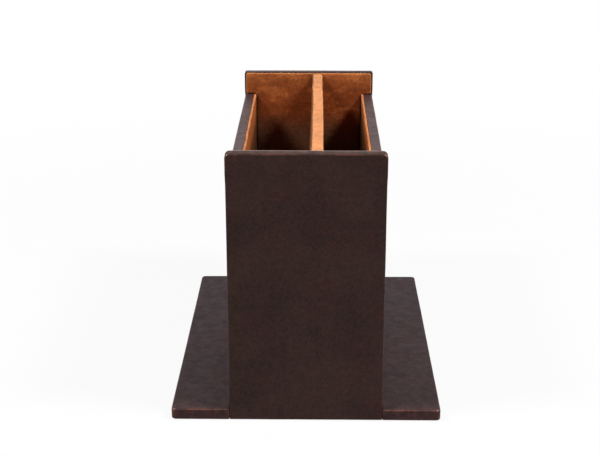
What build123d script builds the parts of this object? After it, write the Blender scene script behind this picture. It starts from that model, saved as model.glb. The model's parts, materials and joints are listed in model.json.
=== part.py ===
from build123d import *
import os

# Pen stand with a drawer: a tall narrow box of leather-covered boards on a thin base plate.
# The box has two deep suede-lined compartments, and a shallow drawer below them.
# Millimetres. X runs across the box, Y from its plain end to its drawer end, Z up.
# The origin is the middle of the underside, on the surface that the object stands on.

# Driving sizes
tower_width = 86.0
tower_depth = 207.0
tower_height = 156.4
base_width = 152.0
ear_rise = 15.0
ear_gain = 0.2
wall_setback = 0.2
divider_centre = 6.1
divider_drop = 1.0
chamber_height = 40.3
drawer_travel = 140.0

# Thicknesses of the sheets that it is made of
leather = 1.0
panel_board = 5.0
divider_core = 4.5
base_board_thickness = 4.7
suede = 1.4
divider_suede = 1.0
floor_board = 3.0
felt = 1.0
card = 1.2
drawer_board = 3.0
drawer_backing = 0.8
drawer_suede = 1.2
wrap_skin = 0.6
tab_leather = 1.2

# Fits and gaps
running_gap = 0.5
glide_gap = 0.3
front_gap = 0.6
turn_in_lift = 0.2
lining_reveal = 0.6
ear_lining_reveal = 1.0
ear_lining_lift = 1.0
slot_gap = 0.1
stop_gap = 0.3
stop_overlap = 2.6
drawer_back_gap = 2.0
felt_gap = 1.0

# Roundings and small sizes
panel_corner = 2.2
base_corner = 2.5
edge_round = 0.9
lining_round = 0.7
lining_corner = 1.4
turn_in_width = 9.0
stop_width = 8.0
side_drop = 5.0
pull_width = 16.0
pull_reach = 15.0
pull_fold = 1.6
pull_tail = 9.5

# Planes across the box, each worked out from its outside inwards
end_face = tower_depth / 2
end_board_face = end_face - leather
end_board_back = end_board_face - panel_board
end_lining_face = end_board_back - suede

panel_half = tower_width / 2
ear_half = panel_half + ear_gain
wall_face = panel_half - wall_setback
wall_board_face = wall_face - leather
wall_board_back = wall_board_face - panel_board
wall_lining_face = wall_board_back - suede

divider_low = divider_centre - divider_core / 2
divider_high = divider_centre + divider_core / 2
divider_cover_low = divider_low - divider_suede
divider_cover_high = divider_high + divider_suede

base_half = base_width / 2

# Levels, each worked out from the ground up
base_board_low = felt
base_board_top = base_board_low + base_board_thickness
base_top = base_board_top + leather
floor_low = base_top + chamber_height
floor_top = floor_low + floor_board
wall_top = tower_height - ear_rise
panel_top = tower_height
panel_board_top = panel_top - leather
wall_board_top = wall_top - leather
divider_top = panel_top - divider_drop

# The drawer, from the chamber that it slides in
chamber_half = wall_board_back - card
wall_return_back = end_board_back - leather
wrap_face = chamber_half - running_gap
side_face = wrap_face - wrap_skin
side_back = side_face - drawer_board
drawer_lining_face = side_back - drawer_suede
front_back = end_board_back + glide_gap
front_board_back = front_back + drawer_backing
front_board_face = end_board_face
front_low = base_top + front_gap
front_top = floor_low - front_gap
drawer_low = base_top + glide_gap
drawer_floor = drawer_low + drawer_board
side_top = floor_low - side_drop
back_board_top = floor_low - running_gap - wrap_skin
back_face = -end_board_back + drawer_back_gap + wrap_skin
back_inner = back_face + drawer_board
stop_rear = back_inner + drawer_travel + stop_gap
stop_low = back_board_top - stop_overlap
pull_level = (front_low + front_top) / 2


def block(x_low, x_high, y_low, y_high, z_low, z_high):
    """A box between two limits on each axis."""
    size = Box(x_high - x_low, y_high - y_low, z_high - z_low)
    return Pos((x_low + x_high) / 2, (y_low + y_high) / 2, (z_low + z_high) / 2) * size


def centred(x_half, y_low, y_high, z_low, z_high):
    """A box with as much on the left of the middle plane as on the right."""
    return block(-x_half, x_half, y_low, y_high, z_low, z_high)


def other_side(shape):
    """The same piece on the other long side."""
    return mirror(shape, about=Plane.YZ)


def other_end(shape):
    """The same piece at the other short end."""
    return mirror(shape, about=Plane.XZ)


def rounded_top(shape, radius):
    """Rounds the two top corners of an upright sheet, as seen from its end."""
    return fillet(shape.edges().filter_by(Axis.Y).group_by(Axis.Z)[-1], radius)


def soft_front(shape, radius):
    """Rounds every edge of the face that looks out at the plain end."""
    return fillet(shape.faces().sort_by(Axis.Y)[0].edges(), radius)


# Base plate


def base_board():
    plate = centred(base_half - leather, -end_board_face, end_board_face, base_board_low, base_board_top)
    return fillet(plate.edges().filter_by(Axis.Z), base_corner - leather)


def base_cover():
    """Leather over the base: its two wings, its edges and its turn-ins, cut away under the box."""
    plate = centred(base_half, -end_face, end_face, turn_in_lift, base_top)
    plate = fillet(plate.edges().filter_by(Axis.Z), base_corner)
    plate = fillet(plate.faces().sort_by(Axis.Z)[-1].edges(), edge_round)
    plate -= base_board()
    inner_half = base_half - turn_in_width
    inner_end = end_face - turn_in_width
    plate -= centred(inner_half, -inner_end, inner_end, 0, base_board_low)
    plate -= centred(wall_board_face, -end_board_back, end_board_back, base_board_top, base_top)
    plate -= centred(panel_half, -end_face, -end_board_back, base_board_top, base_top)
    plate -= centred(panel_half, -end_face, -end_board_face, 0, base_top)
    plate -= centred(panel_half, -end_face, -inner_end, 0, base_board_low)
    return plate


def base_felt():
    inset = turn_in_width + felt_gap
    return centred(base_half - inset, -end_face + inset, end_face - inset, 0, base_board_low)


# End panels


def end_board(z_low):
    half = panel_half - leather
    board = centred(half, -end_board_face, -end_board_back, z_low, panel_board_top)
    return rounded_top(board, panel_corner - leather)


def end_shell(z_low):
    """The outside of a covered end panel: its ears stand a hair wider than the panel below them."""
    lower = centred(panel_half, -end_face, -end_board_back, z_low, wall_top + ear_rise / 2)
    ears = centred(ear_half, -end_face, -end_board_back, wall_top, panel_top)
    return soft_front(lower, edge_round) + soft_front(rounded_top(ears, panel_corner), edge_round)


def near_end_cover():
    """One hide over the plain end, its edges and the edge of the base, turned in underneath."""
    shell = centred(panel_half, -end_face, -end_board_back, turn_in_lift, wall_top + ear_rise / 2)
    side_edges = shell.faces().sort_by(Axis.Y)[0].edges().filter_by(Axis.Z)
    shell = fillet(side_edges.group_by(Axis.X)[0] + side_edges.group_by(Axis.X)[-1], edge_round)
    ears = centred(ear_half, -end_face, -end_board_back, wall_top, panel_top)
    shell += soft_front(rounded_top(ears, panel_corner), edge_round)
    shell += centred(panel_half, -end_board_face, -end_face + turn_in_width, turn_in_lift, base_board_low)
    shell -= end_board(base_board_top)
    shell -= centred(panel_half, -end_board_face, -end_board_back, base_board_low, base_board_top)
    return shell


def far_end_board():
    return other_end(end_board(floor_low + leather))


def far_end_cover():
    """The same hide over the drawer end, ending above the drawer front."""
    return other_end(end_shell(floor_low) - end_board(floor_low + leather))


def end_lining():
    """Suede on the inside of an end panel: a stem between the walls, and an ear over each."""
    half = ear_half - ear_lining_reveal
    ears = centred(half, -end_board_back, -end_lining_face, wall_top + ear_lining_lift, panel_top - lining_reveal)
    ears = rounded_top(ears, lining_corner)
    stem_top = wall_top + ear_rise / 2
    stem = centred(wall_lining_face, -end_board_back, -end_lining_face, floor_top, stem_top)
    lining = ears + stem
    top_edges = lining.faces().sort_by(Axis.Y)[-1].edges().group_by(Axis.Z)[-1]
    return fillet(top_edges, lining_round)


# Side walls


def wall_board():
    wall = block(wall_board_back, wall_board_face, -end_board_back, end_board_back, base_board_top, wall_board_top)
    notch = block(wall_board_back, wall_board_face, wall_return_back, end_board_back, base_board_top, floor_low)
    return wall - notch


def wall_cover():
    """Leather down the outside of a side wall, over its top, and round its end beside the drawer."""
    sheet = block(chamber_half, wall_face, -end_board_back, end_board_back, base_top, wall_top)
    sheet = fillet(sheet.edges().filter_by(Axis.Y).group_by(Axis.Z)[-1].sort_by(Axis.X)[-1], edge_round)
    sheet -= block(chamber_half, wall_board_face, -end_board_back, wall_return_back, base_top, wall_board_top)
    sheet -= block(chamber_half, wall_board_face, wall_return_back, end_board_back, floor_low, wall_board_top)
    sheet -= block(chamber_half, wall_board_back, -end_board_back, end_board_back, wall_board_top, wall_top)
    return sheet


def wall_lining():
    sheet = block(wall_lining_face, wall_board_back, -end_board_back, end_board_back, floor_top, wall_top)
    return fillet(sheet.edges().filter_by(Axis.Y).group_by(Axis.Z)[-1].sort_by(Axis.X)[0], lining_round)


# Divider and compartment floor


def divider_board():
    top = divider_top - divider_suede
    return block(divider_low, divider_high, -end_lining_face, end_lining_face, floor_top, top)


def divider_cover():
    """Suede folded over the divider, down both of its faces."""
    sheet = block(divider_cover_low, divider_cover_high, -end_lining_face, end_lining_face, floor_top, divider_top)
    sheet = fillet(sheet.edges().filter_by(Axis.Y).group_by(Axis.Z)[-1], divider_suede)
    return sheet - divider_board()


def compartment_floor():
    return centred(wall_board_back, -end_board_back, end_board_back, floor_low, floor_top)


def floor_lining(x_low, x_high):
    return block(x_low, x_high, -end_lining_face, end_lining_face, floor_top, floor_top + suede)


# Drawer chamber


def chamber_liner():
    """Smooth card on the lower inside of a side wall: it guides the drawer and carries the floor."""
    return block(chamber_half, wall_board_back, -end_board_back, wall_return_back, base_top, floor_low)


def chamber_felt():
    """Felt that the drawer glides on."""
    return centred(wall_board_back, -end_board_back, end_board_back, base_board_top, base_top)


def drawer_stop():
    """Batten under the floor that the drawer's raised back meets when it is fully out."""
    return centred(chamber_half, stop_rear, stop_rear + stop_width, stop_low, floor_low)


# Drawer


def pull_profile(x_half, tail, half_thickness):
    """The folded tab, its flat part and the two tails behind the drawer front."""
    tails = centred(x_half, front_board_back, front_board_back + tab_leather, pull_level - tail, pull_level + tail)
    flat_low = pull_level - half_thickness
    flat_high = pull_level + half_thickness
    flat = centred(x_half, front_board_back, end_face + pull_reach, flat_low, flat_high)
    return tails + flat


def drawer_pull():
    """A strap of leather folded double, held in a slot by its two tails."""
    tab = pull_profile(pull_width / 2, pull_tail, tab_leather)
    bead = Pos(0, end_face + pull_reach, pull_level) * Rot(0, 90, 0) * Cylinder(pull_fold, pull_width)
    return tab + bead


def pull_slot():
    return pull_profile(pull_width / 2 + slot_gap, pull_tail + slot_gap, tab_leather + slot_gap)


def drawer_front_board():
    board = centred(panel_half - leather, front_board_back, front_board_face, front_low + leather, front_top - leather)
    return board - pull_slot()


def drawer_front_cover():
    """Leather over the drawer front and its four edges, level with the panel above it."""
    shell = centred(panel_half, front_board_back, end_face, front_low, front_top)
    shell = fillet(shell.faces().sort_by(Axis.Y)[-1].edges(), edge_round)
    shell -= centred(panel_half - leather, front_board_back, front_board_face, front_low + leather, front_top - leather)
    return shell - pull_slot()


def drawer_front_backing():
    return centred(panel_half - leather / 2, front_back, front_board_back, front_low, front_top)


def drawer_bottom():
    return centred(side_face, back_face, front_back, drawer_low, drawer_floor)


def drawer_side():
    return block(side_back, side_face, back_inner, front_back, drawer_floor, side_top)


def drawer_back():
    """The back stands higher than the sides, so that the stop catches it."""
    return centred(side_face, back_face, back_inner, drawer_floor, back_board_top)


def drawer_wrap():
    """Thin covering round the back and both sides, and over their top edges."""
    skin = centred(wrap_face, back_face - wrap_skin, front_back, drawer_low, side_top + wrap_skin)
    skin += centred(wrap_face, back_face - wrap_skin, back_inner, drawer_low, back_board_top + wrap_skin)
    skin -= centred(side_back, back_inner, front_back, drawer_low, floor_low)
    skin -= centred(side_face, back_face, front_back, drawer_low, side_top)
    return skin - centred(side_face, back_face, back_inner, drawer_low, back_board_top)


def drawer_side_lining():
    return block(drawer_lining_face, side_back, back_inner, front_back, drawer_floor, side_top)


def drawer_back_lining():
    return centred(drawer_lining_face, back_inner, back_inner + drawer_suede, drawer_floor, side_top)


def drawer_front_lining():
    return centred(drawer_lining_face, front_back - drawer_suede, front_back, drawer_floor, side_top)


def drawer_floor_lining():
    low = back_inner + drawer_suede
    return centred(drawer_lining_face, low, front_back - drawer_suede, drawer_floor, drawer_floor + drawer_suede)


pieces = {
    "base_board": base_board(),
    "base_cover": base_cover(),
    "base_felt": base_felt(),
    "near_end_board": end_board(base_board_top),
    "near_end_cover": near_end_cover(),
    "near_end_lining": end_lining(),
    "far_end_board": far_end_board(),
    "far_end_cover": far_end_cover(),
    "far_end_lining": other_end(end_lining()),
    "right_wall_board": wall_board(),
    "left_wall_board": other_side(wall_board()),
    "right_wall_cover": wall_cover(),
    "left_wall_cover": other_side(wall_cover()),
    "right_wall_lining": wall_lining(),
    "left_wall_lining": other_side(wall_lining()),
    "divider_board": divider_board(),
    "divider_cover": divider_cover(),
    "compartment_floor": compartment_floor(),
    "wide_floor_lining": floor_lining(-wall_lining_face, divider_cover_low),
    "narrow_floor_lining": floor_lining(divider_cover_high, wall_lining_face),
    "right_chamber_liner": chamber_liner(),
    "left_chamber_liner": other_side(chamber_liner()),
    "chamber_felt": chamber_felt(),
    "drawer_stop": drawer_stop(),
    "drawer_front_board": drawer_front_board(),
    "drawer_front_cover": drawer_front_cover(),
    "drawer_front_backing": drawer_front_backing(),
    "drawer_bottom": drawer_bottom(),
    "drawer_right_side": drawer_side(),
    "drawer_left_side": other_side(drawer_side()),
    "drawer_back": drawer_back(),
    "drawer_wrap": drawer_wrap(),
    "drawer_right_lining": drawer_side_lining(),
    "drawer_left_lining": other_side(drawer_side_lining()),
    "drawer_back_lining": drawer_back_lining(),
    "drawer_front_lining": drawer_front_lining(),
    "drawer_floor_lining": drawer_floor_lining(),
    "drawer_pull": drawer_pull(),
}

os.makedirs("parts", exist_ok=True)
for name, piece in pieces.items():
    export_step(piece, f"parts/{name}.step")
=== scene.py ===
import json
import math

import bmesh
import bpy
from mathutils import Matrix, Vector, noise


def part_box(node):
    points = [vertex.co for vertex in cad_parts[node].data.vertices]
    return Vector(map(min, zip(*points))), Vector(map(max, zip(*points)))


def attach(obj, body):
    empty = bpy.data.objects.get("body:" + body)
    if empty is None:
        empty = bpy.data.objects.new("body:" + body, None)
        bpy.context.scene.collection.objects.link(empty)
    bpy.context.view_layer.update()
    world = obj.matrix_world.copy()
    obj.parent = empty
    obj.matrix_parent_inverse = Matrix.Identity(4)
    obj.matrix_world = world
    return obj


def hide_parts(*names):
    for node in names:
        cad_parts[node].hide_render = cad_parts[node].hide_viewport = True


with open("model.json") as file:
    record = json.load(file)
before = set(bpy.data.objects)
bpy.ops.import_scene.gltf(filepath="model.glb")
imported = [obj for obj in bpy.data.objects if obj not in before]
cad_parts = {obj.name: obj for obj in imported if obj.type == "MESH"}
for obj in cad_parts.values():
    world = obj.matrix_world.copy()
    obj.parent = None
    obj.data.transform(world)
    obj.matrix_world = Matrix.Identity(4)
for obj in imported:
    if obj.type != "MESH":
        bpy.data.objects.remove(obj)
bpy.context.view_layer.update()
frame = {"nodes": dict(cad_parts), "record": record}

MM = 0.001

# The finish's own sizes, in millimetres. The frame gives the rest.

# Rounded rims, where a face turns over its edge
LEATHER_RIM = 0.9
INNER_RIM = 0.45
BASE_RIM_LOW = 0.8
WALL_END_RIM = 0.25
SUEDE_RIM = 0.75
FLOOR_RIM = 0.4
DRAWER_FRONT_BACK_RIM = 0.2
DRAWER_LINING_RIM = 0.4
DRAWER_FLOOR_RIM = 0.3
PULL_RIM = 0.35

# Rounded corners of the outlines
NEAR_CORNER = 2.6
FAR_CORNER = 1.4
BASE_CORNER = 2.6
WING_NOTCH = 0.8
WALL_INNER_CORNER = 0.6
EAR_CORNER = 1.5
INNER_CORNER = 0.7
WALL_SUEDE_BACK_CORNER = 0.3
DIVIDER_RIGHT_CORNER = 1.3
DIVIDER_LEFT_CORNER = 2.1
FLOOR_CORNER = 0.3
DRAWER_FRONT_CORNER = 1.2
DRAWER_LINING_CORNER = 0.4

# Small gaps and lifts
NOTCH_GAP = 0.02
WALL_INSET = 0.05
RIGHT_EAR_LIFT = 0.3
LEFT_EAR_LIFT = 0.6

# How finely the faces are cut so that they can bend, and how far in from an end the closer line is
GRID = 3.0
THIN_GRID = 0.9
SUEDE_GRID = 2.5
WIDE_GRID = 4.0
PULL_GRID = 1.2
SUPPORT = 0.5
PULL_SUPPORT = 0.6
RIM_STEPS = 4
WALL_END_STEPS = 2
PULL_RIM_STEPS = 3
SHADING_WEIGHT = 60
CUT_TOLERANCE = 1e-4
SAME_PLACE = 1e-6

# The end panels: how the sides slope out to the ears, and how the near one's top slopes to the front
EAR_SLOPE = 4
CROWN_DROP = 0.5
CROWN_FLAT = 1.4
CROWN_FADE = 4.0

# The divider's suede, swollen on the left and less so towards the far end
DIVIDER_SWELL = 1.7
DIVIDER_SWELL_REACH = 8.0
DIVIDER_SWELL_FADE = 30.0
DIVIDER_SWELL_MIDDLE = 0.75
DIVIDER_SWELL_TAPER = 0.35

# The drawer's pull: half the thickness of its strap and of the fold at its tip, and where the fold starts
PULL_STRAP = 1.2
PULL_FOLD = 1.6
PULL_NECK = 2.2
PULL_SHOULDER = 0.4
PULL_NECK_RADIUS = 3.0
PULL_SHOULDER_RADIUS = 1.0
PULL_TIP_ROUND = 0.9

# Waves of the faces, each a size, the most that it moves a point along X, Y and Z, and a seed
LEATHER_WAVES = [(46, (0.10, 0.10, 0.10), 3.1), (15, (0.05, 0.05, 0.05), 7.7)]
END_SUEDE_WAVES = [(21, (0.16, 0.12, 0.16), 1.3), (6, (0.07, 0.08, 0.07), 5.9)]
DIVIDER_WAVES = [(30, (0.30, 0, 0.15), 8.1), (11, (0.25, 0, 0.15), 9.6)]
FLOOR_WAVES = [(25, (0, 0, 0.3), 3.3), (8, (0, 0, 0.12), 6.1)]
PULL_WAVES = [(12, (0.15, 0, 0.10), 1.9)]
DRAWER_WAVE_SIZE = 16
DRAWER_WAVE = 0.15
SEED_SPREAD = (1, 1.7, 0.3)
WAVE_SEED = 7

# Wear is over 0 where a piece is rubbed pale or a highlight is painted, and under 0 where shade is painted in
# corners. Reaches are millimetres.
FLAT_NORMAL = 0.985
EDGE_FADE = 0.2
EDGE_RUB = 0.20
EDGE_RUB_UPWARD = 0.67
CORNER_GAIN = 6
CORNER_RUB = 0.6
POLISH_START = 0.65
POLISH_GAIN = 2.2
UPWARD = 0.5
UPWARD_FADE = 0.3
PANEL_UPWARD = 0.4
# The near panel's top is rubbed; along its back the rubbed colour is partly a painted highlight
TOP_RUB = 0.16
TOP_BACK_RUB_AND_HIGHLIGHT = 2.3
TOP_BACK_RUB_AND_HIGHLIGHT_REACH = 0.85
TOP_RUB_MOST = 1.3
BASE_NEAR_LIGHTER = 0.28
BASE_NEAR_LIGHTER_REACH = 5.0
BASE_FACE_LIGHTER = 0.17
# The walls' flat tops: rubbed, and partly a painted highlight
WALL_TOP_RUB_AND_HIGHLIGHT = 0.12
# Suede folds and the end linings' tops are pale: rubbed nap, and partly a painted highlight
FOLD_REACH = 1.2
WALL_FOLD_RUB_AND_HIGHLIGHT = 0.5
DIVIDER_FOLD_RUB_AND_HIGHLIGHT = 0.8
LINING_RUB_AND_HIGHLIGHT = 0.45
LINING_RUB_AND_HIGHLIGHT_REACH = 5.0
# Painted shade in the linings' corners, beside the walls and beside the end panels
CORNER_PAINTED_SHADE = 0.8
CORNER_PAINTED_SHADE_REACH = 1.6
WALL_CORNER_SHADE_REACH = 6.0
WALL_CORNER_SHADE_START = 1.0
WALL_CORNER_SHADE_FADE = 3.0


# Shapes

# The waves start from one seed, so that each run gives the same shapes
noise.seed_set(WAVE_SEED)


def node_box(node):
    """A CAD node's lowest and highest corners, in millimetres."""
    low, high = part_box(node)
    return low / MM, high / MM


def held(value):
    """A share, held between 0 and 1."""
    return min(1.0, max(0.0, value))


def rounded_outline(corners, steps=5):
    """A closed outline through corners (u, v, radius), with an arc of that radius at each."""
    points = []
    count = len(corners)
    for i, (u, v, radius) in enumerate(corners):
        here = Vector((u, v))
        before = (Vector(corners[i - 1][:2]) - here).normalized()
        after = (Vector(corners[(i + 1) % count][:2]) - here).normalized()
        if radius <= 0:
            points.append(here)
            continue
        half = before.angle(after) / 2
        reach = radius / math.tan(half)
        centre = here + (before + after).normalized() * (radius / math.sin(half))
        start = here + before * reach - centre
        turn = (here + after * reach - centre).angle_signed(start)
        for k in range(steps + 1):
            points.append(centre + Matrix.Rotation(turn * k / steps, 2) @ start)
    return points


def rectangle(u_low, u_high, v_low, v_high, radii):
    """A rectangle's outline. radii go anticlockwise from the low corner."""
    a, b, c, d = radii
    return rounded_outline([(u_low, v_low, a), (u_high, v_low, b), (u_high, v_high, c), (u_low, v_high, d)])


def placed(axis, u, v, w):
    """The point of an outline (u, v) at the place w along the axis that it is pushed along."""
    if axis == "X":
        return Vector((w, u, v))
    if axis == "Y":
        return Vector((u, w, v))
    return Vector((u, v, w))


def inset_outline(outline, distance):
    """The outline moved inwards by a distance, each point along the middle of its corner."""
    moved = []
    count = len(outline)
    for i, here in enumerate(outline):
        before = (here - outline[i - 1]).normalized()
        after = (outline[(i + 1) % count] - here).normalized()
        inward = (Vector((-before.y, before.x)) + Vector((-after.y, after.x))).normalized()
        spread = inward.dot(Vector((-before.y, before.x)))
        moved.append(here + inward * (distance / spread))
    return moved


def push_outline(bm, outline, axis, low, high, rims, steps):
    """Pushes an anticlockwise outline along an axis into a plate whose two faces have rounded rims."""
    rim_low, rim_high = rims
    sections = []
    for k in range(steps + 1):
        angle = math.pi / 2 * k / steps
        sections.append((rim_low * (1 - math.sin(angle)), low + rim_low * (1 - math.cos(angle))))
    for k in range(steps + 1):
        angle = math.pi / 2 * (1 - k / steps)
        sections.append((rim_high * (1 - math.sin(angle)), high - rim_high * (1 - math.cos(angle))))
    kept = sections[:1]
    for inset, level in sections[1:]:
        if abs(kept[-1][0] - inset) >= SAME_PLACE or abs(kept[-1][1] - level) >= SAME_PLACE:
            kept.append((inset, level))
    rings = [[bm.verts.new(placed(axis, p.x, p.y, level)) for p in inset_outline(outline, inset)]
             for inset, level in kept]
    count = len(outline)
    for lower, upper in zip(rings, rings[1:]):
        for i in range(count):
            j = (i + 1) % count
            bm.faces.new((lower[i], lower[j], upper[j], upper[i]))
    bm.faces.new(rings[0])
    bm.faces.new(rings[-1])


def cut_planes(bm, cells, support):
    """Cuts every face along an even grid, with a closer line beside each end. cells has one size per axis."""
    points = [v.co for v in bm.verts]
    for axis in range(3):
        low = min(p[axis] for p in points)
        high = max(p[axis] for p in points)
        if high - low < 2 * cells[axis]:
            continue
        count = max(2, round((high - low) / cells[axis]))
        places = [low + (high - low) * k / count for k in range(1, count)]
        places += [low + support, high - support]
        normal = Vector((0, 0, 0))
        normal[axis] = 1
        for place in places:
            geometry = bm.verts[:] + bm.edges[:] + bm.faces[:]
            bmesh.ops.bisect_plane(bm, geom=geometry, dist=CUT_TOLERANCE, plane_co=normal * place,
                                   plane_no=normal)


def wander(point, size, seed):
    """A smooth direction that changes over about `size` millimetres, each part between -1 and 1."""
    return noise.noise_vector(point / size + Vector([seed * share for share in SEED_SPREAD]))


def edge_share(normal):
    """0 on a flat face, rising to 1 on a rounded edge."""
    flat = max(abs(part) for part in normal)
    return held((FLAT_NORMAL - flat) / EDGE_FADE)


def rubbed_leather(point, normal):
    """How far an edge is rubbed, 0 to 1: most on corners and upward edges, least on upright edges."""
    edge = edge_share(normal)
    corner = held(abs(normal.x * normal.y * normal.z) * CORNER_GAIN)
    return min(1.0, edge * (EDGE_RUB + EDGE_RUB_UPWARD * max(0.0, normal.z)) + CORNER_RUB * corner)


def rubbed_and_lit_nap(point, normal):
    """Suede is pale on every folded edge: rubbed nap, and partly a painted highlight."""
    return edge_share(normal)


def rubbed_and_lit_fold(top, down):
    """Where suede is folded over a board, its whole top is pale, rubbed nap and partly a painted highlight
    where it faces up, and its sides a little way down.
    """

    def rubbed(point, normal):
        upward = held((normal.z - UPWARD) / UPWARD_FADE)
        return max(edge_share(normal), upward, down * math.exp((point.z - top) / FOLD_REACH))

    return rubbed


def rubbed_lit_and_shaded_lining(top, stem):
    """The lining of an end panel is paler below its top edge, rubbed nap and partly a painted highlight, and
    has painted shade in the corners beside the walls.
    """

    def rubbed(point, normal):
        if point.z < wall_top:
            return -CORNER_PAINTED_SHADE * math.exp((abs(point.x) - stem) / CORNER_PAINTED_SHADE_REACH)
        return max(edge_share(normal), LINING_RUB_AND_HIGHLIGHT * math.exp((point.z - top) / LINING_RUB_AND_HIGHLIGHT_REACH))

    return rubbed


def rubbed_lit_and_shaded_wall_lining(top, end):
    """The lining of a side wall is pale along its top, rubbed nap and partly a painted highlight, and has
    painted shade in the corners beside the end panels.
    """
    fold = rubbed_and_lit_fold(top, WALL_FOLD_RUB_AND_HIGHLIGHT)

    def rubbed(point, normal):
        corner_shade = CORNER_PAINTED_SHADE * math.exp((abs(point.y) - end) / WALL_CORNER_SHADE_REACH)
        return fold(point, normal) - corner_shade * held((top - WALL_CORNER_SHADE_START - point.z) / WALL_CORNER_SHADE_FADE)

    return rubbed


def finish_piece(bm, name, body, slot, material, replaced, waves, rubbed=rubbed_leather, reshape=None):
    """Notes the plate's rubbed edges, bends it by its waves inside its own box, attaches it to its body and
    hides the CAD parts that it replaces.
    """
    bmesh.ops.recalc_face_normals(bm, faces=bm.faces)
    bm.normal_update()
    # The wear attribute holds rubbed wear, painted highlights, and under 0 painted shade
    wear_and_painted_light = bm.verts.layers.float.new("wear_and_painted_light")
    for vert in bm.verts:
        vert[wear_and_painted_light] = rubbed(vert.co, vert.normal)
    if reshape is not None:
        for vert in bm.verts:
            vert.co = reshape(vert.co)
    low = Vector([min(v.co[i] for v in bm.verts) for i in range(3)])
    high = Vector([max(v.co[i] for v in bm.verts) for i in range(3)])
    for vert in bm.verts:
        move = Vector((0, 0, 0))
        for size, amount, seed in waves:
            step = wander(vert.co, size, seed)
            move += Vector([step[i] * amount[i] for i in range(3)])
        vert.co += move
        for i in range(3):
            vert.co[i] = min(max(vert.co[i], low[i]), high[i])
    mesh = bpy.data.meshes.new(name)
    for vert in bm.verts:
        vert.co *= MM
    bm.to_mesh(mesh)
    bm.free()
    mesh.shade_smooth()
    piece = bpy.data.objects.new(name, mesh)
    bpy.context.scene.collection.objects.link(piece)
    weighted = piece.modifiers.new("even_shading", "WEIGHTED_NORMAL")
    weighted.weight = SHADING_WEIGHT
    mesh.materials.append(material)
    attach(piece, body)
    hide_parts(*replaced)
    return piece


def plate(name, outline, axis, low, high, rims, body, slot, material, replaced, waves,
          cells=(GRID,) * 3, steps=RIM_STEPS, support=None, **shaping):
    """A bending plate of one outline. shaping is what finish_piece takes for rubbed and reshape."""
    bm = bmesh.new()
    push_outline(bm, outline, axis, low, high, rims, steps)
    cut_planes(bm, cells, max(rims) + SUPPORT if support is None else support)
    return finish_piece(bm, name, body, slot, material, replaced, waves, **shaping)


# Materials


class Tree:
    """Short calls for building a tree of shader nodes."""

    def __init__(self, tree):
        self.tree = tree
        self.tree.nodes.clear()

    def add(self, kind, **values):
        node = self.tree.nodes.new(kind)
        for key, value in values.items():
            setattr(node, key, value)
        return node

    def link(self, source, out, target, into):
        self.tree.links.new(source.outputs[out], target.inputs[into])

    def math(self, operation, a, b, clamp=False):
        """a and b are numbers, or (node, output) pairs."""
        node = self.add("ShaderNodeMath", operation=operation, use_clamp=clamp)
        for index, value in enumerate((a, b)):
            if isinstance(value, tuple):
                self.link(*value, node, index)
            else:
                node.inputs[index].default_value = value
        return node

    def mix_shaders(self, share, first, second):
        """share, first and second are (node, output) pairs."""
        node = self.add("ShaderNodeMixShader")
        for index, pair in enumerate((share, first, second)):
            self.link(*pair, node, index)
        return node

    def seen(self):
        """1 for rays that show a thing straight, mirrored or through glass, and 0 for rays that light."""
        rays = self.add("ShaderNodeLightPath")
        mirrored = self.math("MAXIMUM", (rays, "Is Camera Ray"), (rays, "Is Glossy Ray"))
        return self.math("MAXIMUM", (mirrored, "Value"), (rays, "Is Transmission Ray"))


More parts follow.
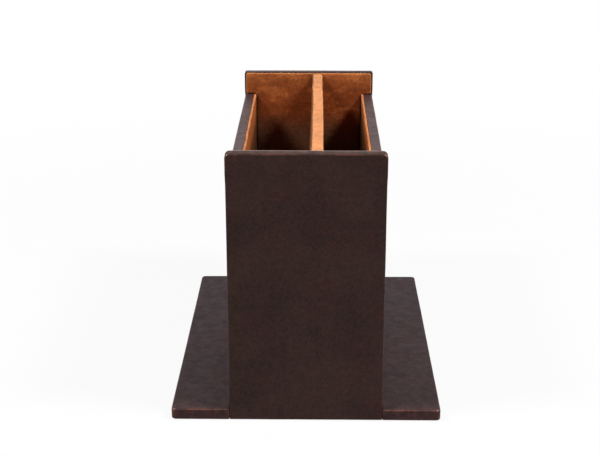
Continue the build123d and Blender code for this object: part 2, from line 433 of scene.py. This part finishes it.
class Finish(Tree):
    """One material's nodes, around its shader."""

    # Where a colour mixer takes its share and its two colours
    MIX_INPUTS = (0, 6, 7)

    def __init__(self, name):
        self.material = bpy.data.materials.new(name)
        self.material.use_nodes = True
        super().__init__(self.material.node_tree)
        self.output = self.add("ShaderNodeOutputMaterial")
        self.shader = self.add("ShaderNodeBsdfPrincipled")
        self.link(self.shader, "BSDF", self.output, "Surface")
        self.place = self.add("ShaderNodeTexCoord")

    def noise(self, size_mm, detail=3.0, roughness=0.5, distortion=0.0, stretch=(1, 1, 1)):
        """Noise whose blotches are about size_mm across, from 0 to 1."""
        mapping = self.add("ShaderNodeMapping")
        mapping.inputs["Scale"].default_value = stretch
        self.link(self.place, "Object", mapping, "Vector")
        node = self.add("ShaderNodeTexNoise")
        node.inputs["Scale"].default_value = 1 / (size_mm * MM)
        node.inputs["Detail"].default_value = detail
        node.inputs["Roughness"].default_value = roughness
        node.inputs["Distortion"].default_value = distortion
        self.link(mapping, "Vector", node, "Vector")
        return node

    def cells(self, size_mm):
        """How far each point is from the edge of its cell, in cells about size_mm across."""
        node = self.add("ShaderNodeTexVoronoi", feature="DISTANCE_TO_EDGE")
        node.inputs["Scale"].default_value = 1 / (size_mm * MM)
        self.link(self.place, "Object", node, "Vector")
        return node

    def ramp(self, source, out, stops, interpolation="EASE"):
        """Each stop is a place and a colour or a grey level."""
        node = self.add("ShaderNodeValToRGB")
        node.color_ramp.interpolation = interpolation
        elements = node.color_ramp.elements
        while len(elements) < len(stops):
            elements.new(0.5)
        for element, (place, colour) in zip(elements, stops):
            element.position = place
            element.color = (*colour, 1) if isinstance(colour, tuple) else (colour, colour, colour, 1)
        self.link(source, out, node, "Fac")
        return node

    def mix(self, factor, a, b, blend="MIX"):
        """Mixes colours a and b. Each is a colour, or a (node, output) pair."""
        node = self.add("ShaderNodeMix", data_type="RGBA", blend_type=blend)
        for index, value in zip(self.MIX_INPUTS, (factor, a, b)):
            if isinstance(value, tuple) and isinstance(value[0], bpy.types.Node):
                self.link(*value, node, index)
            elif isinstance(value, tuple):
                node.inputs[index].default_value = (*value, 1)
            else:
                node.inputs[index].default_value = value
        return node

    def bump(self, source, out, depth_mm, strength, under=None):
        node = self.add("ShaderNodeBump")
        node.inputs["Strength"].default_value = strength
        node.inputs["Distance"].default_value = depth_mm * MM
        self.link(source, out, node, "Height")
        if under is not None:
            self.link(under, "Normal", node, "Normal")
        return node

    def finished(self, colour, out, surface, levels):
        """Joins colour and surface to the shader, and sets the levels that are the same all over."""
        self.link(colour, out, self.shader, "Base Color")
        self.link(surface, "Normal", self.shader, "Normal")
        for name, level in levels.items():
            self.shader.inputs[name].default_value = level
        return self.material


def srgb(red, green, blue):
    """A screen colour, 0 to 255, as the linear colour that a shader takes."""
    out = []
    for value in (red, green, blue):
        v = value / 255
        out.append(v / 12.92 if v <= 0.04045 else ((v + 0.055) / 1.055) ** 2.4)
    return tuple(out)


def leather(name, tones, rub=0.55, specular=0.11, sheen=0.13):
    """Smooth leather: cloudy dye, a fine creased grain, and edges rubbed lighter and glossier; along the near
    panel's back edge and on the walls' tops the lighter colour is partly a painted highlight.

    tones are the dark, middle and reddened dye. rub is how far the most rubbed edges go to bare leather.
    """
    dark, mid, red = tones
    n = Finish(name)
    cloud = n.noise(size_mm=28, detail=4, roughness=0.6)
    cloudy = n.ramp(cloud, "Fac", [(0.36, dark), (0.64, mid)])
    blush = n.noise(size_mm=20, detail=3, roughness=0.6)
    blush_mask = n.ramp(blush, "Fac", [(0.50, 0), (0.68, 1)])
    blush_share = n.math("MULTIPLY", (blush_mask, "Color"), 0.45)
    reddened = n.mix((blush_share, "Value"), (cloudy, "Color"), red)
    pebbles = n.cells(size_mm=1.5)
    creases = n.ramp(pebbles, "Distance", [(0.0, 0.74), (0.16, 1)], "LINEAR")
    speckle = n.noise(size_mm=2.6, detail=5, roughness=0.72)
    specks = n.ramp(speckle, "Fac", [(0.34, 0.80), (0.66, 1.18)], "LINEAR")
    tone = n.mix(1.0, (creases, "Color"), (specks, "Color"), "MULTIPLY")
    toned = n.mix(1.0, (reddened, "Result"), (tone, "Result"), "MULTIPLY")
    # Rubbed edges, and partly painted highlights
    edge = n.add("ShaderNodeAttribute", attribute_name="wear_and_painted_light")
    patches = n.noise(size_mm=4.5, detail=3, roughness=0.65)
    patch_mask = n.ramp(patches, "Fac", [(0.42, 0.15), (0.60, 1)])
    rubbed = n.math("MULTIPLY", (edge, "Fac"), (patch_mask, "Color"))
    share = n.math("MULTIPLY", (rubbed, "Value"), rub, clamp=True)
    final = n.mix((share, "Value"), (toned, "Result"), WORN_AND_HIGHLIGHT)
    gloss = n.noise(size_mm=6, detail=4, roughness=0.6)
    rough = n.ramp(gloss, "Fac", [(0.3, 0.44), (0.7, 0.58)])
    n.link(rough, "Color", n.shader, "Roughness")
    most_rubbed = n.math("SUBTRACT", (edge, "Fac"), POLISH_START, clamp=True)
    polish = n.math("MULTIPLY", (most_rubbed, "Value"), POLISH_GAIN, clamp=True)
    n.link(polish, "Value", n.shader, "Coat Weight")
    pores = n.noise(size_mm=0.5, detail=3, roughness=0.6)
    fine = n.bump(pores, "Fac", depth_mm=0.04, strength=0.6)
    pebble = n.bump(creases, "Color", depth_mm=0.06, strength=0.6, under=fine)
    soft = n.noise(size_mm=9, detail=2, roughness=0.5)
    surface = n.bump(soft, "Fac", depth_mm=0.12, strength=0.5, under=pebble)
    return n.finished(final, "Result", surface, {
        "Coat Roughness": 0.28,
        "Specular IOR Level": specular,
        "Sheen Weight": sheen,
        "Sheen Roughness": 0.3,
        "Sheen Tint": (*LEATHER_SHEEN, 1),
    })


def suede(name, tones, fold, sheen_tint, painted_shade=None, sheen=0.8, fold_share=0.9):
    """Brushed suede: a nap that lies in light and dark patches, paler on its folds, as rubbed nap and partly
    as a painted highlight.

    The painted shade is (dark colour, start, end): from start to end, in millimetres below the walls' tops,
    the nap turns to that colour, a painted shade for the dark deep inside.
    """
    deep, mid, pale = tones
    n = Finish(name)
    brushed = n.noise(size_mm=13, detail=5, roughness=0.62, distortion=0.6, stretch=(0.8, 0.8, 1.3))
    patch = n.ramp(brushed, "Fac", [(0.35, deep), (0.50, mid), (0.65, pale)])
    mottle = n.noise(size_mm=2.2, detail=5, roughness=0.75)
    mottle_tone = n.ramp(mottle, "Fac", [(0.32, 0.66), (0.68, 1.30)], "LINEAR")
    shown = n.mix(1.0, (patch, "Color"), (mottle_tone, "Color"), "MULTIPLY")
    # Painted shade: the nap darkens with depth below the walls' tops, for the shade deep inside
    if painted_shade is not None:
        dark, start, end = painted_shade
        parts = n.add("ShaderNodeSeparateXYZ")
        n.link(n.place, "Object", parts, "Vector")
        depth = n.add("ShaderNodeMapRange", interpolation_type="SMOOTHERSTEP")
        depth.inputs["From Min"].default_value = (wall_top - start) * MM
        depth.inputs["From Max"].default_value = (wall_top - end) * MM
        n.link(parts, "Z", depth, "Value")
        shaded = n.mix(1.0, (mottle_tone, "Color"), dark, "MULTIPLY")
        shown = n.mix((depth, "Result"), (shown, "Result"), (shaded, "Result"))
    # Pale folds and tops: rubbed nap, and partly a painted highlight
    edge = n.add("ShaderNodeAttribute", attribute_name="wear_and_painted_light")
    blotch = n.ramp(brushed, "Fac", [(0.35, 0.80), (0.60, 1.06)])
    folded = n.mix(0.7, fold, (mottle_tone, "Color"), "MULTIPLY")
    fold_wear_and_highlight = n.mix(1.0, (folded, "Result"), (blotch, "Color"), "MULTIPLY")
    share = n.math("MULTIPLY", (edge, "Fac"), fold_share, clamp=True)
    rubbed = n.mix((share, "Value"), (shown, "Result"), (fold_wear_and_highlight, "Result"))
    # Painted shade in the corners, where the wear is under 0
    corner_shade = n.math("MULTIPLY", (edge, "Fac"), -1.0, clamp=True)
    final = n.mix((corner_shade, "Value"), (rubbed, "Result"), PAINTED_CORNER_SHADE)
    nap_height = n.noise(size_mm=0.35, detail=3, roughness=0.7)
    fine = n.bump(nap_height, "Fac", depth_mm=0.12, strength=0.7)
    body = n.noise(size_mm=3.0, detail=4, roughness=0.6)
    surface = n.bump(body, "Fac", depth_mm=0.35, strength=0.5, under=fine)
    return n.finished(final, "Result", surface, {
        "Roughness": 0.9,
        "Specular IOR Level": 0.1,
        "Sheen Weight": sheen,
        "Sheen Roughness": 0.4,
        "Sheen Tint": (*sheen_tint, 1),
    })


def felted(name, dark, light):
    """Pressed felt: short tangled fibres."""
    n = Finish(name)
    tangle = n.noise(size_mm=0.9, detail=6, roughness=0.75, distortion=1.2)
    tone = n.ramp(tangle, "Fac", [(0.35, dark), (0.65, light)])
    surface = n.bump(tangle, "Fac", depth_mm=0.2, strength=0.8)
    return n.finished(tone, "Color", surface, {
        "Roughness": 0.95,
        "Specular IOR Level": 0.1,
        "Sheen Weight": 0.25,
        "Sheen Roughness": 0.5,
    })


def grained(name, dark, light, size_mm, roughness, stretch=(1, 1, 1)):
    """Wood, fibreboard or card: specks or streaks drawn out one way."""
    n = Finish(name)
    streaks = n.noise(size_mm, detail=5, roughness=0.65, distortion=0.3, stretch=stretch)
    tone = n.ramp(streaks, "Fac", [(0.35, dark), (0.65, light)])
    surface = n.bump(streaks, "Fac", depth_mm=0.08, strength=0.5)
    return n.finished(tone, "Color", surface, {"Roughness": roughness, "Specular IOR Level": 0.3})


# Dye, bare leather and nap, and colours of painted highlight and painted shade, as screen colours
BROWN_DARK = srgb(53, 36, 32)
BROWN = srgb(61, 42, 37)
BROWN_RED = srgb(66, 38, 34)
BASE_TONES = (srgb(52, 35, 36), srgb(59, 40, 41), srgb(65, 37, 38))
# Bare leather, for rubbed edges and partly for painted highlights
WORN_AND_HIGHLIGHT = srgb(138, 88, 68)
SUEDE_DEEP = srgb(128, 62, 27)
SUEDE = srgb(148, 73, 32)
SUEDE_PALE = srgb(180, 99, 50)
# Pale fold colours: rubbed nap, and partly a painted highlight
SUEDE_FOLD_WEAR_AND_HIGHLIGHT = srgb(240, 150, 86)
DIVIDER_FOLD_WEAR_AND_HIGHLIGHT = srgb(241, 158, 103)
WALL_FOLD_WEAR_AND_HIGHLIGHT = srgb(216, 140, 90)
# Painted shade colours of the nap deep inside
SUEDE_PAINTED_SHADE = srgb(114, 74, 52)
WALL_PAINTED_SHADE = srgb(58, 26, 11)
# Painted shade colour of the linings' corners
PAINTED_CORNER_SHADE = srgb(36, 20, 14)
LEATHER_SHEEN = (0.88, 0.56, 1.0)
SUEDE_SHEEN = (1.0, 0.60, 0.30)
WALL_SHEEN = (1.0, 0.46, 0.18)
DIVIDER_SHEEN = (1.0, 0.64, 0.36)

BROWN_TONES = (BROWN_DARK, BROWN, BROWN_RED)
SUEDE_TONES = (SUEDE_DEEP, SUEDE, SUEDE_PALE)
WALL_TONES = (SUEDE, SUEDE_PALE, SUEDE_PALE)

# Painted shade deep inside: how far below the walls' tops the nap starts to darken, and is dark, in
# millimetres
wall_top = node_box("right_wall_cover")[1].z
INNER_PAINTED_SHADE = (SUEDE_PAINTED_SHADE, 7.4, 31.4)
# Each wall's lining darkens at its own depth, a painted shade that follows the light on that side
LEFT_WALL_PAINTED_SHADE = (WALL_PAINTED_SHADE, 5.4, 22.4)
RIGHT_WALL_PAINTED_SHADE = (WALL_PAINTED_SHADE, 2.4, 13.9)

hide = leather("brown_leather", BROWN_TONES)
panel_hide = leather("panel_leather", BROWN_TONES, specular=0.09, sheen=0.06)
base_hide = leather("base_leather", BASE_TONES, specular=0.095)
wall_hide = leather("wall_leather", BROWN_TONES, specular=0.19)
nap = suede("tan_suede", SUEDE_TONES, SUEDE_FOLD_WEAR_AND_HIGHLIGHT, SUEDE_SHEEN, INNER_PAINTED_SHADE, fold_share=0.65)
# The two walls' linings are copies of one suede that differ in their painted shade
left_wall_nap = suede("left_wall_suede", WALL_TONES, WALL_FOLD_WEAR_AND_HIGHLIGHT, WALL_SHEEN, LEFT_WALL_PAINTED_SHADE, sheen=0.3)
right_wall_nap = suede("right_wall_suede", WALL_TONES, WALL_FOLD_WEAR_AND_HIGHLIGHT, WALL_SHEEN, RIGHT_WALL_PAINTED_SHADE, sheen=0.3)
divider_nap = suede("divider_suede", SUEDE_TONES, DIVIDER_FOLD_WEAR_AND_HIGHLIGHT, DIVIDER_SHEEN, INNER_PAINTED_SHADE, sheen=0.7,
                    fold_share=1.0)
drawer_nap = suede("drawer_suede", SUEDE_TONES, SUEDE_FOLD_WEAR_AND_HIGHLIGHT, SUEDE_SHEEN)
felt = felted("brown_felt", srgb(30, 24, 22), srgb(58, 48, 44))
fibreboard = grained("raw_fibreboard", srgb(150, 122, 92), srgb(182, 154, 122), 1.2, roughness=0.85)
card = grained("dark_card", srgb(40, 34, 31), srgb(56, 48, 44), 1.6, roughness=0.7)
hardwood = grained("planed_hardwood", srgb(132, 88, 54), srgb(176, 126, 84), 2.0, roughness=0.55,
                   stretch=(0.12, 1, 1))
skin = leather("thin_brown_leather", (BROWN_DARK, BROWN, BROWN), rub=0.35)

CAD_FINISH = {"leather": hide, "suede": nap, "felt": felt, "board": fibreboard, "card": card,
              "hardwood": hardwood, "drawer_skin": skin}
for row in frame["record"]["subparts"]:
    node = frame["nodes"][row["node"]]
    node.data.materials.clear()
    node.data.materials.append(CAD_FINISH[row["material_slot"]])


# Pieces of leather


near_low, near_high = node_box("near_end_cover")
board_high = node_box("near_end_board")[1]
base_low, base_high = node_box("base_cover")
leather_thickness = near_high.z - board_high.z
panel_half = board_high.x + leather_thickness
ear_half = near_high.x
panel_back = board_high.y
crown_back = panel_back - CROWN_FLAT


def shape_panel(point):
    """Widens an end panel a hair above the side walls."""
    share = held((point.z - wall_top) / (EAR_SLOPE * (ear_half - panel_half)) + 0.5)
    wider = 1 + share * (ear_half / panel_half - 1)
    return Vector((point.x * wider, point.y, point.z))


def shape_near_panel(point):
    """The near panel's top also slopes down a little towards the front."""
    point = shape_panel(point)
    along = held((crown_back - point.y) / (crown_back - near_low.y))
    near_top = held((point.z - (near_high.z - CROWN_FADE)) / (CROWN_FADE - LEATHER_RIM))
    return Vector((point.x, point.y, point.z - CROWN_DROP * along * near_top))


def rubbed_and_lit_panel(point, normal):
    """The near panel is rubbed all along its top, most of all along the back of it, where the rubbed colour
    is partly a painted highlight.
    """
    upward = max(0.0, (normal.z - PANEL_UPWARD) / (1 - PANEL_UPWARD))
    back = TOP_BACK_RUB_AND_HIGHLIGHT * math.exp((point.y - panel_back) / TOP_BACK_RUB_AND_HIGHLIGHT_REACH)
    return max(rubbed_leather(point, normal), min(TOP_RUB_MOST, upward * (TOP_RUB + back)))


def lighter_near_base(point, normal):
    """The base plate is also lighter on its near edge, a little way in from it, and on its near faces."""
    inwards = math.exp((base_low.y - point.y) / BASE_NEAR_LIGHTER_REACH)
    face = BASE_FACE_LIGHTER * max(0.0, -normal.y)
    return min(1.0, rubbed_leather(point, normal) + BASE_NEAR_LIGHTER * max(0.0, normal.z) * inwards + face)


def rubbed_and_lit_wall(point, normal):
    """The side walls are rubbed a little along their flat tops, partly as a painted highlight."""
    upward = max(0.0, (normal.z - UPWARD) / (1 - UPWARD))
    return min(1.0, rubbed_leather(point, normal) + WALL_TOP_RUB_AND_HIGHLIGHT * upward)


def near_panel():
    corners = (0, 0, NEAR_CORNER, NEAR_CORNER)
    outline = rectangle(-panel_half, panel_half, near_low.z, near_high.z, corners)
    return plate("near_panel_leather", outline, "Y", near_low.y, panel_back, (LEATHER_RIM, INNER_RIM),
                 "stand", "leather", panel_hide, ["near_end_cover"], LEATHER_WAVES,
                 cells=(GRID, THIN_GRID, GRID), rubbed=rubbed_and_lit_panel, reshape=shape_near_panel)


def far_panel():
    low, high = node_box("far_end_cover")
    corners = (INNER_RIM, INNER_RIM, FAR_CORNER, FAR_CORNER)
    outline = rectangle(-panel_half, panel_half, low.z, high.z, corners)
    return plate("far_panel_leather", outline, "Y", low.y, high.y, (INNER_RIM, LEATHER_RIM),
                 "stand", "leather", hide, ["far_end_cover"], LEATHER_WAVES, reshape=shape_panel)


def side_wall(side):
    """Leather over a side wall, with a narrow return beside the drawer."""
    name = "right" if side > 0 else "left"
    low, high = node_box(name + "_wall_cover")
    board_inner = node_box("right_wall_board")[0].x
    outer_face = node_box("right_wall_cover")[1].x
    if side > 0:
        inner, outer = board_inner + WALL_INSET, outer_face
        corners = (0, 0, LEATHER_RIM, WALL_INNER_CORNER)
    else:
        inner, outer = -outer_face, -(board_inner + WALL_INSET)
        corners = (0, 0, WALL_INNER_CORNER, LEATHER_RIM)
    return plate(name + "_wall_leather", rectangle(inner, outer, low.z, high.z, corners), "Y",
                 low.y, high.y, (WALL_END_RIM, WALL_END_RIM), "stand", "leather", wall_hide,
                 [name + "_wall_cover"], LEATHER_WAVES, steps=WALL_END_STEPS,
                 support=LEATHER_RIM + SUPPORT, rubbed=rubbed_and_lit_wall)


def base():
    """Leather over the base plate. It is notched for the near end panel, whose hide reaches the ground."""
    notch_half = panel_half + NOTCH_GAP
    corners = [
        (-base_high.x, base_low.y, BASE_CORNER),
        (-notch_half, base_low.y, WING_NOTCH),
        (-notch_half, panel_back, 0),
        (notch_half, panel_back, 0),
        (notch_half, base_low.y, WING_NOTCH),
        (base_high.x, base_low.y, BASE_CORNER),
        (base_high.x, base_high.y, BASE_CORNER),
        (-base_high.x, base_high.y, BASE_CORNER),
    ]
    return plate("base_leather", rounded_outline(corners), "Z", base_low.z, base_high.z,
                 (BASE_RIM_LOW, LEATHER_RIM), "stand", "leather", base_hide, ["base_cover"],
                 LEATHER_WAVES, cells=(WIDE_GRID,) * 3, rubbed=lighter_near_base)


# Pieces of suede


def end_suede(end):
    """The lining of an end panel: a stem between the walls and an ear over each."""
    low, high = node_box(end + "_end_lining")
    stem = node_box("right_wall_lining")[0].x
    right_low = wall_top + RIGHT_EAR_LIFT
    left_low = wall_top + LEFT_EAR_LIFT
    corners = [
        (-stem, low.z, 0),
        (stem, low.z, 0),
        (stem, right_low, INNER_CORNER),
        (high.x, right_low, EAR_CORNER),
        (high.x, high.z, EAR_CORNER),
        (low.x, high.z, EAR_CORNER),
        (low.x, left_low, EAR_CORNER),
        (-stem, left_low, INNER_CORNER),
    ]
    rims = (0, SUEDE_RIM) if end == "near" else (SUEDE_RIM, 0)
    return plate(end + "_panel_suede", rounded_outline(corners), "Y", low.y, high.y, rims,
                 "stand", "suede", nap, [end + "_end_lining"], END_SUEDE_WAVES,
                 cells=(SUEDE_GRID,) * 3, rubbed=rubbed_lit_and_shaded_lining(high.z, stem))


def wall_suede(side):
    """The lining of a side wall. Its top edge is rounded and wanders a little."""
    if side > 0:
        name, material, corners = "right", right_wall_nap, (0, 0, WALL_SUEDE_BACK_CORNER, SUEDE_RIM)
    else:
        name, material, corners = "left", left_wall_nap, (0, 0, SUEDE_RIM, WALL_SUEDE_BACK_CORNER)
    low, high = node_box(name + "_wall_lining")
    outline = rectangle(low.x, high.x, low.z, high.z, corners)
    waves = [(24, (0.22, 0, 0.20), 2.2 + side), (11, (0.30, 0, 0.30), 4.4 + side)]
    return plate(name + "_wall_suede", outline, "Y", low.y, high.y, (0, 0), "stand", "suede", material,
                 [name + "_wall_lining"], waves, cells=(SUEDE_GRID,) * 3,
                 rubbed=rubbed_lit_and_shaded_wall_lining(high.z, high.y))


def divider():
    low, high = node_box("divider_cover")
    corners = (0, 0, DIVIDER_RIGHT_CORNER, DIVIDER_LEFT_CORNER)
    outline = rectangle(low.x, high.x, low.z, high.z, corners)
    middle = (low.x + high.x) / 2

    def swell(point):
        """The suede stands off the board on the left, below its fold."""
        left = max(0.0, (middle - point.x) / (middle - low.x))
        below = 1 - math.exp((point.z - high.z) / DIVIDER_SWELL_REACH)
        above_floor = held((point.z - low.z) / DIVIDER_SWELL_FADE)
        nearer = DIVIDER_SWELL_MIDDLE - DIVIDER_SWELL_TAPER * point.y / high.y
        move = DIVIDER_SWELL * nearer * left * below * above_floor
        return Vector((point.x - move, point.y, point.z))

    return plate("divider_suede", outline, "Y", low.y, high.y, (0, 0), "stand", "suede", divider_nap,
                 ["divider_cover"], DIVIDER_WAVES, cells=(SUEDE_GRID,) * 3,
                 rubbed=rubbed_and_lit_fold(high.z, DIVIDER_FOLD_RUB_AND_HIGHLIGHT), reshape=swell)


def floor_suede(name):
    low, high = node_box(name + "_floor_lining")
    outline = rectangle(low.x, high.x, low.y, high.y, (FLOOR_CORNER,) * 4)
    return plate(name + "_floor_suede", outline, "Z", low.z, high.z, (0, FLOOR_RIM), "stand", "suede", nap,
                 [name + "_floor_lining"], FLOOR_WAVES, cells=(WIDE_GRID,) * 3, rubbed=rubbed_and_lit_nap)


# Drawer


def drawer_front():
    low, high = node_box("drawer_front_cover")
    outline = rectangle(low.x, high.x, low.z, high.z, (DRAWER_FRONT_CORNER,) * 4)
    return plate("drawer_front_leather", outline, "Y", low.y, high.y, (DRAWER_FRONT_BACK_RIM, LEATHER_RIM),
                 "drawer", "leather", hide, ["drawer_front_cover"], LEATHER_WAVES)


def drawer_lining(node, axis, rims, seed):
    """One face of the drawer's lining, pushed along the axis that it is thin in."""
    low, high = node_box(node)
    across = "XYZ".index(axis)
    u, v = [i for i in range(3) if i != across]
    corners = (0, 0, DRAWER_LINING_CORNER, DRAWER_LINING_CORNER)
    outline = rectangle(low[u], high[u], low[v], high[v], corners)
    amount = [DRAWER_WAVE if i == across else 0.0 for i in range(3)]
    return plate(node.replace("lining", "suede"), outline, axis, low[across], high[across], rims,
                 "drawer", "suede", drawer_nap, [node], [(DRAWER_WAVE_SIZE, amount, seed)],
                 rubbed=rubbed_and_lit_nap)


def drawer_pull():
    """A strap folded double: a flat tab with a fuller fold at its tip, and its tails inside."""
    low, high = node_box("drawer_pull")
    level = (low.z + high.z) / 2
    tip = high.y - PULL_FOLD
    neck = tip - PULL_NECK * PULL_FOLD
    shoulder = tip - PULL_SHOULDER * PULL_FOLD
    tip_radius = PULL_FOLD * PULL_TIP_ROUND
    corners = [
        (low.y, level - PULL_STRAP, 0),
        (neck, level - PULL_STRAP, PULL_NECK_RADIUS),
        (shoulder, level - PULL_FOLD, PULL_SHOULDER_RADIUS),
        (high.y, level - PULL_FOLD, tip_radius),
        (high.y, level + PULL_FOLD, tip_radius),
        (shoulder, level + PULL_FOLD, PULL_SHOULDER_RADIUS),
        (neck, level + PULL_STRAP, PULL_NECK_RADIUS),
        (low.y, level + PULL_STRAP, 0),
    ]
    return plate("drawer_pull_leather", rounded_outline(corners), "X", low.x, high.x, (PULL_RIM, PULL_RIM),
                 "drawer", "leather", hide, ["drawer_pull"], PULL_WAVES, cells=(PULL_GRID,) * 3,
                 steps=PULL_RIM_STEPS, support=PULL_SUPPORT)


near_panel()
far_panel()
base()
for side in (-1, 1):
    side_wall(side)
    wall_suede(side)
end_suede("near")
end_suede("far")
divider()
floor_suede("wide")
floor_suede("narrow")
drawer_front()
drawer_lining("drawer_left_lining", "X", (0, DRAWER_LINING_RIM), 1.1)
drawer_lining("drawer_right_lining", "X", (DRAWER_LINING_RIM, 0), 2.3)
drawer_lining("drawer_back_lining", "Y", (0, DRAWER_LINING_RIM), 3.7)
drawer_lining("drawer_front_lining", "Y", (DRAWER_LINING_RIM, 0), 4.9)
drawer_lining("drawer_floor_lining", "Z", (0, DRAWER_FLOOR_RIM), 5.2)
drawer_pull()


# Floor, light and camera, in metres, degrees and watts

# The floor is a plain pale grey. Where it is seen, it is lifted towards white, all the way far off.
FLOOR_SIZE = 12
FLOOR_DROP = 0.0002
FLOOR_GREY = 0.86
FLOOR_LIFT_NEAR = 0.90
FLOOR_LIFT_FAR = 1.0
FLOOR_NEAR = 0.15
FLOOR_FAR = 0.75

# Two soft lamps, one on each side, a weak one behind, and even light from all round
LIGHT_AIM = (0, 0, 0.1)
LIGHT_REACH = 1.4
LIGHT_RISE = 49
LIGHT_TURN = 22
LIGHT_SIZE = 0.30
LEFT_POWER = 12.5
RIGHT_POWER = 15.8
BACK_PLACE = (0, 1.1, 1.2)
BACK_SIZE = 0.8
BACK_POWER = 1.6
ROOM_LIGHT = 0.05

# The camera of the photograph, fitted to the object's edges
CAMERA_PLACE = (0.00506, -0.74429, 0.33748)
CAMERA_YAW = 0.744
CAMERA_PITCH = 19.145
CAMERA_LENS = 76.1
CAMERA_SENSOR = 36.0
CLIP_START = 0.01
CLIP_END = 50


def make_floor():
    bpy.ops.mesh.primitive_plane_add(size=FLOOR_SIZE, location=(0, 0, -FLOOR_DROP))
    floor = bpy.context.object
    floor.name = "floor"
    n = Finish("pale_floor")
    n.shader.inputs["Base Color"].default_value = (FLOOR_GREY, FLOOR_GREY, FLOOR_GREY, 1)
    n.shader.inputs["Roughness"].default_value = 1.0
    n.shader.inputs["Specular IOR Level"].default_value = 0.0
    white = n.add("ShaderNodeEmission")
    white.inputs["Strength"].default_value = 1.0
    away = n.add("ShaderNodeVectorMath", operation="LENGTH")
    n.link(n.place, "Object", away, "Vector")
    fade = n.add("ShaderNodeMapRange", interpolation_type="SMOOTHSTEP")
    fade.inputs["From Min"].default_value = FLOOR_NEAR
    fade.inputs["From Max"].default_value = FLOOR_FAR
    fade.inputs["To Min"].default_value = FLOOR_LIFT_NEAR
    fade.inputs["To Max"].default_value = FLOOR_LIFT_FAR
    n.link(away, "Value", fade, "Value")
    lift = n.math("MULTIPLY", (n.seen(), "Value"), (fade, "Result"))
    blend = n.mix_shaders((lift, "Value"), (n.shader, "BSDF"), (white, "Emission"))
    n.link(blend, "Shader", n.output, "Surface")
    floor.data.materials.append(n.material)


def make_world():
    """Even studio light. Seen directly or mirrored, the surroundings are white."""
    world = bpy.data.worlds.new("studio")
    bpy.context.scene.world = world
    world.use_nodes = True
    n = Tree(world.node_tree)
    output = n.add("ShaderNodeOutputWorld")
    backgrounds = []
    for strength in (ROOM_LIGHT, 1.0):
        background = n.add("ShaderNodeBackground")
        background.inputs["Color"].default_value = (1, 1, 1, 1)
        background.inputs["Strength"].default_value = strength
        backgrounds.append((background, "Background"))
    blend = n.mix_shaders((n.seen(), "Value"), *backgrounds)
    n.link(blend, "Shader", output, "Surface")


def area_light(name, place, size, power):
    data = bpy.data.lights.new(name, "AREA")
    data.shape = "SQUARE"
    data.size = size
    data.energy = power
    lamp = bpy.data.objects.new(name, data)
    bpy.context.scene.collection.objects.link(lamp)
    lamp.location = place
    lamp.rotation_euler = (Vector(LIGHT_AIM) - Vector(place)).to_track_quat("-Z", "Y").to_euler()


def make_lights():
    rise = math.radians(LIGHT_RISE)
    turn = math.radians(LIGHT_TURN)
    flat = LIGHT_REACH * math.cos(rise)
    height = LIGHT_REACH * math.sin(rise) + LIGHT_AIM[2]
    for side, power in ((-1, LEFT_POWER), (1, RIGHT_POWER)):
        place = (side * flat * math.cos(turn), -flat * math.sin(turn), height)
        area_light("side_light", place, LIGHT_SIZE, power)
    area_light("back_light", BACK_PLACE, BACK_SIZE, BACK_POWER)


def make_camera():
    data = bpy.data.cameras.new("camera")
    data.sensor_fit = "HORIZONTAL"
    data.sensor_width = CAMERA_SENSOR
    data.lens = CAMERA_LENS
    data.clip_start = CLIP_START
    data.clip_end = CLIP_END
    camera = bpy.data.objects.new("camera", data)
    bpy.context.scene.collection.objects.link(camera)
    camera.location = CAMERA_PLACE
    camera.rotation_euler = (math.radians(90 - CAMERA_PITCH), 0, math.radians(CAMERA_YAW))
    bpy.context.scene.camera = camera


make_floor()
make_world()
make_lights()
make_camera()
bpy.context.scene.view_settings.view_transform = "Standard"
